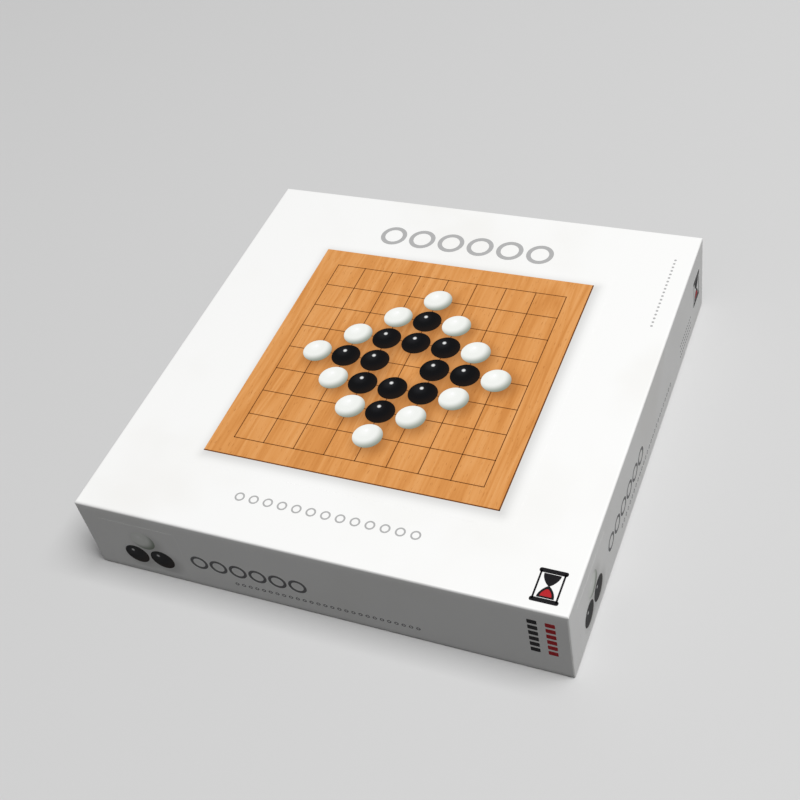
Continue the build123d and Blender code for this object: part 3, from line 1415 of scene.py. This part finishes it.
@dataclass
class PackingPad:
    """A die-cut frame of corrugated board: two liners and a fluted sheet between them."""

    level: str
    turned: bool
    liner: float = 0.3 * MM
    flute_pitch: float = 6.5 * MM
    flute_paper: float = 0.22 * MM
    flute_steps: int = 10
    window_gap: float = 4 * MM

    def build(self) -> None:
        """Build the frame round the booklet's window and dress it."""
        node = f"{self.level}_packing_pad"
        low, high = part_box(node)
        book_low, book_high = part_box("rules_cover")
        window = [c / 2 + self.window_gap for c in (book_high - book_low).xy]
        if self.turned:
            window.reverse()
        side = high.x - low.x
        thickness = high.z - low.z
        flutes = round(side / self.flute_pitch * self.flute_steps)
        medium = self.frame_sheet(side, window, flutes, self.flute_paper)
        swing = thickness / 2 - self.liner - self.flute_paper / 2
        for corner in medium.body.data.vertices:
            turns = math.tau * corner.co.x / self.flute_pitch
            corner.co.z += thickness / 2 + swing * math.sin(turns)
        liner = self.frame_sheet(side, window, 1, self.liner).move(rise(self.liner / 2))
        other = liner.copy("other_liner").move(rise(thickness - self.liner))
        whole = medium.join(liner, other).rename(f"{self.level}_corrugated_pad")
        whole.move(rise(low.z) @ Matrix.Rotation(math.pi / 2 if self.turned else 0, 4, "Z"))
        whole.smooth(50)
        kraft = Kraft(f"{self.level}_kraft", "Y" if self.turned else "X").make()
        whole.dress(kraft, "base", "corrugated_board", node)

    def frame_sheet(self, side: float, window: Spot, parts: int, paper: float) -> Workpiece:
        """Cut one sheet with the window.

        Args:
            side: the outer side of the square sheet.
            window: half the window along X and Y.
            parts: how many faces the sheet has along X.
            paper: its thickness.

        Returns:
            The sheet, with its middle at zero height.
        """
        piece = Workpiece.sheet("sheet", (side, side), (parts, 1))
        for way, half in ((Vector((1, 0, 0)), window[0]), (Vector((0, 1, 0)), window[1])):
            for sign in (-1, 1):
                piece.divide(anything, sign * half * way, way)
        piece.cut_away(lambda at, way: abs(at.x) < window[0] and abs(at.y) < window[1])
        piece.thicken(paper, 0.0)
        return piece


@dataclass
class MarbleSet:
    """All the marbles, modelled once and copied: a ball with a small shear mark."""

    first_tilt: float = 1.1
    mark_angle: float = math.radians(8)
    mark_inset: float = 0.3 * MM
    mark_depth: float = 0.05 * MM
    clearance: float = 0.01 * MM
    levels: int = 4

    def build(self, names: Sequence[str]) -> None:
        """Put one marble in the place of each named node.

        Args:
            names: the nodes that are marbles.
        """
        finishes = {
            "black": PressedGlass("black_glass", "0B0B0D", "1B1B20", haze=0.0).make(),
            "white": PressedGlass("white_opal_glass", "F1F0EA", "E9E9E3", haze=0.3).make(),
        }
        low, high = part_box(names[0])
        pattern = self.ball((high.x - low.x) / 2 - self.clearance)
        golden = math.pi * (3 - math.sqrt(5))
        for index, name in enumerate(names):
            low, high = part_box(name)
            tilt = Matrix.Rotation(self.first_tilt + index, 4, "X")
            place = Matrix.Translation((low + high) / 2) @ Matrix.Rotation(index * golden, 4, "Z")
            marble = pattern.copy(f"{name}_glass").move(place @ tilt)
            colour = name.split("_")[0]
            marble.dress(finishes[colour], name, f"{colour}_glass", name)
        bpy.data.objects.remove(pattern.body)

    def ball(self, radius: float) -> Workpiece:
        """Model one marble at the origin.

        Args:
            radius: its radius.

        Returns:
            The marble.
        """
        corner = Vector((1, 1, 1)) * radius / math.sqrt(3)
        piece = Workpiece.block("marble_pattern", -corner, corner)
        levels = {"levels": self.levels, "render_levels": self.levels}
        piece.modify("SUBSURF", subdivision_type="SIMPLE", **levels)
        piece.modify("CAST", factor=1.0, radius=0.0, size=radius, use_radius_as_size=False)
        near = math.cos(self.mark_angle)
        with piece.picked(Element.FACE, lambda at, way: at.normalized().z > near):
            bpy.ops.mesh.inset(thickness=self.mark_inset)
            bpy.ops.transform.translate(value=(0, 0, -self.mark_depth))
        piece.smooth(80)
        return piece


@dataclass
class Booklet:
    """The stapled rules: a folded cover, nested folded sheets and two wire staples."""

    inks: dict[Ink, Finish]
    body: str = "booklet"
    cover_paper: float = 0.26 * MM
    sheet_paper: float = 0.09 * MM
    sheets: int = 4
    spine_share: float = 0.49
    spine_steps: int = 5
    wire: float = 0.25 * MM
    wire_sides: int = 10
    bend: float = 0.3 * MM
    bend_steps: int = 4
    crown: float = 12.0 * MM
    clench: float = 3.6 * MM
    print_height: float = 0.005 * MM
    stones: Spot = (0.0, 10.0)
    stone: float = 26.0
    rows: Sequence[Ornament] = (
        Ornament("large_rings", Ink.DARK_GREY, Ring(9.0, 1.5), row(-26.0, 26.0, 6), (70.0,)),
        Ornament("small_rings", Ink.DARK_GREY, Ring(3.2, 0.6), row(-30.0, 30.0, 13), (-60.0,)),
    )

    def build(self) -> None:
        """Build and dress the cover, the pages, the staples and the cover's print."""
        low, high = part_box("rules_cover")
        cover = LaminatedPaper("coated_cover_paper", low, high, "F4F3EF").make()
        folded = self.folded("rules_cover_sheet", low, high, 0.0, self.cover_paper)
        folded.dress(cover, self.body, "cover_paper", "rules_cover")
        page_low, page_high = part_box("rules_pages")
        pitch = (page_high.z - page_low.z) / 2 / self.sheets
        insets = [index * pitch for index in range(self.sheets)]
        leaves = [self.folded("leaf", page_low, page_high, i, self.sheet_paper) for i in insets]
        pages = leaves[0].join(*leaves[1:]).rename("rules_page_sheets")
        book_paper = PlainPaper("book_paper", "F1EFE8", "D9D5C9").make()
        pages.dress(book_paper, self.body, "page_paper", "rules_pages")
        staples = self.staples()
        staples.dress(GalvanisedWire().make(), self.body, "staple_wire", "rules_staples")
        place = rise(high.z + self.print_height)
        page = Page("rules", place, cover, self.inks, self.body, "cover_paper")
        page.stone_group(self.stones, self.stone)
        for block in self.rows:
            page.ornament(block)

    def folded(self, name: str, low: Vector, high: Vector, inset: float, paper: float) -> Workpiece:
        """Fold one sheet round the spine, which is at the left.

        Args:
            name: what the sheet is called.
            low: the lowest corner of all the sheets.
            high: their highest corner.
            inset: how far inside the outermost sheet it lies.
            paper: its thickness.

        Returns:
            The folded sheet.
        """
        first = low + Vector((inset, 0, inset))
        last = high - Vector((0, 0, inset))
        piece = Workpiece.block(name, first, last)
        piece.cut_away(lambda at, way: way.x > MOSTLY or abs(way.y) > MOSTLY)
        piece.round_edges(
            lambda at, way: at.x < first.x + TINY and abs(way.y) > MOSTLY,
            (last.z - first.z) * self.spine_share,
            self.spine_steps,
        )
        piece.thicken(paper)
        piece.smooth()
        return piece

    def staples(self) -> Workpiece:
        """Bend two staples from round wire.

        Returns:
            Both staples as one piece.
        """
        low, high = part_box("rules_staples")
        half = self.crown / 2
        level = (low.z + high.z) / 2
        staple = self.staple(low.x + self.wire, high.x - self.wire, low.y + half, level)
        apart = Matrix.Translation((0, high.y - low.y - self.crown, 0))
        other = staple.copy("other_staple").move(apart)
        return staple.join(other).rename("rules_wire_staples")

    def staple(self, outer: float, inner: float, middle: float, level: float) -> Workpiece:
        """Bend one staple.

        Args:
            outer: where the crown's wire lies along X.
            inner: where the clenched ends lie along X.
            middle: the staple's middle along Y.
            level: its height.

        Returns:
            The staple.
        """
        reach = self.crown / 2 - self.wire - self.bend
        piece = Workpiece.disc("wire", self.wire, self.wire_sides)
        piece.move(Matrix.Translation((outer, middle, level)) @ Matrix.Rotation(-math.pi / 2, 4, "X"))
        corners = [(x, middle + reach, level) for x in (outer + self.bend, inner - self.bend)]
        leg = inner - outer - 2 * self.bend
        with piece.picked(Element.FACE, anything):
            bpy.ops.mesh.extrude_region()
            bpy.ops.transform.translate(value=(0, reach, 0))
            bend = {"steps": self.bend_steps, "angle": math.pi / 2, "axis": (0, 0, -1)}
            for corner, run in zip(corners, ((leg, 0, 0), (0, -self.clench, 0))):
                bpy.ops.mesh.spin(center=corner, **bend)
                bpy.ops.mesh.extrude_region()
                bpy.ops.transform.translate(value=run)
        other = piece.copy("other_half")
        with other.picked(Element.FACE, anything):
            bpy.ops.transform.resize(value=(1, -1, 1), center_override=(outer, middle, level))
        piece.join(other)
        piece.merge()
        with piece.picked(Element.FACE, anything):
            bpy.ops.mesh.normals_make_consistent(inside=False)
        piece.smooth(50)
        return piece


@dataclass(frozen=True)
class Studio:
    """A plain pale floor, a large soft light above the back right, and the camera."""

    camera_place: Spot = (0.24504, -0.41775, 0.51459)
    camera_way: Spot = (-0.36185, 0.60116, -0.71252)
    camera_roll: float = math.radians(-13.00)
    lens_mm: float = 58.14
    sensor_mm: float = 36.0
    nearest: float = 0.01
    lamp_place: Spot = (1.35, -0.10, 3.85)
    lamp_aim: Spot = (0.0, 0.0, 0.02)
    lamp_side: float = 2.4
    lamp_watts: float = 165.0
    floor_side: float = 5.0
    floor_roughness: float = 0.9
    floor_seen: str = "D2D2D2"
    floor_bounce: str = "3C3C3C"
    room_seen: str = "C2C2C2"
    room_light: str = "6A6A6A"

    def build(self) -> None:
        """Set up the floor, the lights and the camera."""
        self.add_floor()
        self.add_lights()
        self.add_camera()

    def hang(self, name: str, data: Any, place: Spot, way: Vector, roll: float = 0.0) -> Any:
        """Put a lamp or a camera in its place.

        Args:
            name: what it is called.
            data: the lamp or the camera.
            place: where it is.
            way: where it looks.
            roll: its turn about that way.

        Returns:
            Its object.
        """
        holder = bpy.data.objects.new(name, data)
        bpy.context.scene.collection.objects.link(holder)
        level = way.to_track_quat("-Z", "Y").to_matrix().to_4x4()
        holder.matrix_world = Matrix.Translation(place) @ level @ Matrix.Rotation(roll, 4, "Z")
        return holder

    def add_camera(self) -> None:
        """Stand the camera where the photograph was taken from."""
        camera = bpy.data.cameras.new("camera")
        camera.lens = self.lens_mm
        camera.sensor_width = self.sensor_mm
        camera.clip_start = self.nearest
        way = Vector(self.camera_way)
        holder = self.hang("camera", camera, self.camera_place, way, self.camera_roll)
        bpy.context.scene.camera = holder

    def add_floor(self) -> None:
        """Lay a pale floor that shows pale but throws little light back at the box."""
        deselect()
        bpy.ops.mesh.primitive_plane_add(size=self.floor_side)
        floor = bpy.context.object
        floor.name = "studio_floor"
        paint = Mixture(bpy.data.materials.new("studio_floor_paint"), Roughness=self.floor_roughness)
        shown = self.seen_as(paint, self.floor_seen, self.floor_bounce)
        floor.data.materials.append(paint.finish(shown))

    def seen_as(self, mix: Mixture, seen: str, otherwise: str) -> Socket:
        """Show one colour to the camera, in gloss and through glass, and another elsewhere.

        Args:
            mix: the floor's paint or the room's light.
            seen: the colour that is seen.
            otherwise: the colour that lights the rest of the scene.

        Returns:
            The socket that holds the colour.
        """
        rays = mix.add("LightPath").node.outputs
        share = rays["Is Camera Ray"]
        for kind in ("Is Glossy Ray", "Is Transmission Ray"):
            share = mix.add("Math", share, rays[kind], operation="MAXIMUM")
        return mix.add("Mix", share, otherwise, seen, data_type="RGBA")

    def add_lights(self) -> None:
        """Hang the soft light and set the room's even light."""
        light = bpy.data.lights.new("soft_box", "AREA")
        light.shape = "SQUARE"
        light.size = self.lamp_side
        light.energy = self.lamp_watts
        self.hang("soft_box", light, self.lamp_place, Vector(self.lamp_aim) - Vector(self.lamp_place))
        room = Mixture(bpy.data.worlds.new("room"), "Background")
        shown = self.seen_as(room, self.room_seen, self.room_light)
        room.tree.links.new(shown, room.shader.inputs["Color"])
        bpy.context.scene.world = room.owner


def finish_nodes(nodes: dict[str, bpy.types.Object]) -> None:
    """Dress the construction nodes that are shown as they are.

    Args:
        nodes: all the construction nodes by name.
    """
    pulp = {"fibre_mm": 0.8, "tooth": 0.03 * MM, "flecks": 0.5}
    pulp_board = PlainPaper("grey_pulp_board", "8E8B84", "6A6660", **pulp).make()
    paper_tape = PlainPaper("gummed_paper_tape", "D9C6A2", "B89F74").make()
    dressed = {"game_board": Beech(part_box("game_board")[1].z * IN_MM).make()}
    for tray in ("lid", "base"):
        dressed[f"{tray}_greyboard"] = pulp_board
        dressed[f"{tray}_corner_stays"] = paper_tape
    for name, material in dressed.items():
        nodes[name].material_slots[0].material = material
        log.info("%s: %s", name, material.name)


def main() -> None:
    """Build the box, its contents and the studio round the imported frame."""
    logging.basicConfig(level=logging.INFO, format="%(name)s: %(message)s")
    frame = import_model()
    bpy.context.scene.view_settings.view_transform = "Standard"

    papers = {
        tray: LaminatedPaper(f"{tray}_laminated_paper", *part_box(f"{tray}_wrap")).make()
        for tray in ("lid", "base")
    }
    inks = {ink: ink.value.make() for ink in Ink}
    WrappedTray("lid", Opening.DOWN, papers["lid"]).build()
    WrappedTray("base", Opening.UP, papers["base"]).build()
    LidPrint(papers["lid"], inks).build()
    PackingPad("lower", turned=False).build()
    PackingPad("upper", turned=True).build()
    MarbleSet().build([name for name in frame["nodes"] if "_marble_" in name])
    Booklet(inks).build()
    finish_nodes(frame["nodes"])
    Studio().build()


if __name__ == "__main__":
    main()
